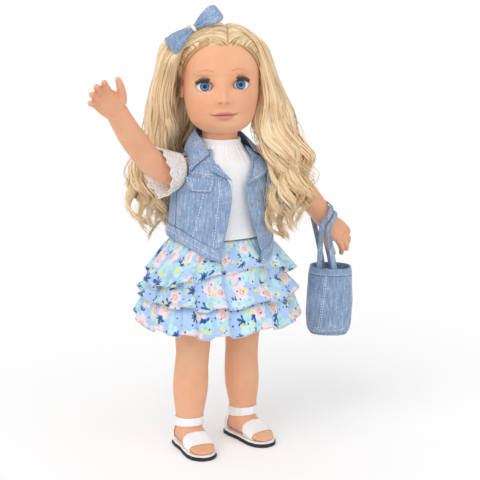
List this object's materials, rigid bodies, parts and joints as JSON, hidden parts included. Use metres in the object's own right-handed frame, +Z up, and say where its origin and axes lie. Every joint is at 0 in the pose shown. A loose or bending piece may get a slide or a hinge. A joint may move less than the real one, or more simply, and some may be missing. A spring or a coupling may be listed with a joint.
{
  "type": "fashion doll",
  "caption": "Vinyl play doll with long rooted hair and sleeping eyes, jointed at neck, shoulders and hips, in denim vest, knit top, tiered skirt and sandals, with a denim bag on its wrist.",
  "frame": {"origin": "on the floor, under the middle of the part's bounding box", "axes": "+Z up along the standing doll, -Y the way its body faces, +X to its own left"},
  "size_m": [0.3468, 0.1546, 0.4719],
  "materials": {
    "skin_vinyl": "soft satin vinyl",
    "neck_plug_nylon": "plain",
    "eye_plastic": "polished",
    "lash_bristle": "plain",
    "axle_steel": "plain wire",
    "eye_weight_iron": "as cast",
    "hair_fibre": "silky",
    "white_tape": "grosgrain",
    "white_knit": "jersey knit",
    "white_lace": "lace",
    "denim": "washed twill",
    "printed_cotton": "printed plain weave",
    "white_strap": "smooth",
    "white_footbed": "smooth",
    "black_sole": "moulded"
  },
  "bodies": {
    "torso": {"torso": "skin_vinyl", "neck_plug": "neck_plug_nylon", "knit_top": "white_knit", "left_lace_sleeve": "white_lace", "right_lace_sleeve": "white_lace", "vest_back": "denim", "vest_front_left": "denim", "vest_front_right": "denim", "vest_hem_band": "denim", "vest_collar": "denim", "vest_left_lapel": "denim", "vest_right_lapel": "denim", "vest_left_pocket_flap": "denim", "vest_right_pocket_flap": "denim", "skirt_waistband": "printed_cotton", "skirt_top_tier": "printed_cotton", "skirt_middle_tier": "printed_cotton", "skirt_bottom_tier": "printed_cotton"},
    "head": {"head_shell": "skin_vinyl", "hair_cap": "hair_fibre", "hair_back_fall": "hair_fibre", "hair_left_fall": "hair_fibre", "hair_right_fall": "hair_fibre", "bow_band": "white_tape", "bow_upper_loop": "white_tape", "bow_lower_loop": "white_tape"},
    "eyes": {"left_eyeball": "eye_plastic", "right_eyeball": "eye_plastic", "left_lash": "lash_bristle", "right_lash": "lash_bristle", "eye_axle": "axle_steel", "eye_weight": "eye_weight_iron"},
    "right_arm": {"right_arm": "skin_vinyl"},
    "left_arm": {"left_arm": "skin_vinyl"},
    "bag": {"bag_body": "denim", "bag_hem": "denim", "bag_bottom": "denim", "bag_near_handle": "denim", "bag_far_handle": "denim"},
    "right_leg": {"right_leg": "skin_vinyl", "right_outsole": "black_sole", "right_footbed": "white_footbed", "right_ankle_strap": "white_strap", "right_toe_strap": "white_strap"},
    "left_leg": {"left_leg": "skin_vinyl", "left_outsole": "black_sole", "left_footbed": "white_footbed", "left_ankle_strap": "white_strap", "left_toe_strap": "white_strap"}
  },
  "joints": [
    {"name": "head_turn", "type": "hinge", "parent": "torso", "child": "head", "pos_m": [0.00037, 0.00384, 0.3565], "axis": [0, 0, 1], "range_deg": [-51, 109], "deforming": ["hair_back_fall", "hair_left_fall", "hair_right_fall"]},
    {"name": "eye_roll", "type": "hinge", "parent": "head", "child": "eyes", "pos_m": [-0.01344, -0.02109, 0.3935], "axis": [0.8746, -0.4848, 0], "range_deg": [0, 34]},
    {"name": "right_shoulder", "type": "hinge", "parent": "torso", "child": "right_arm", "pos_m": [-0.05463, 0.00484, 0.303], "axis": [1, 0, 0], "range_deg": [-17, 183]},
    {"name": "left_shoulder", "type": "hinge", "parent": "torso", "child": "left_arm", "pos_m": [0.05537, 0.00484, 0.303], "axis": [1, 0, 0], "range_deg": [-140, 34]},
    {"name": "bag_swing", "type": "hinge", "parent": "left_arm", "child": "bag", "pos_m": [0.13381, -0.01242, 0.23378], "axis": [1, 0, 0], "range_deg": [-40, 40], "deforming": ["bag_near_handle", "bag_far_handle"]},
    {"name": "right_hip", "type": "hinge", "parent": "torso", "child": "right_leg", "pos_m": [-0.03663, -0.00016, 0.196], "axis": [1, 0, 0], "range_deg": [-70, 20], "deforming": ["skirt_top_tier", "skirt_middle_tier", "skirt_bottom_tier"]},
    {"name": "left_hip", "type": "hinge", "parent": "torso", "child": "left_leg", "pos_m": [0.03737, -0.00016, 0.196], "axis": [1, 0, 0], "range_deg": [-70, 20], "deforming": ["skirt_top_tier", "skirt_middle_tier", "skirt_bottom_tier"]}
  ]
}
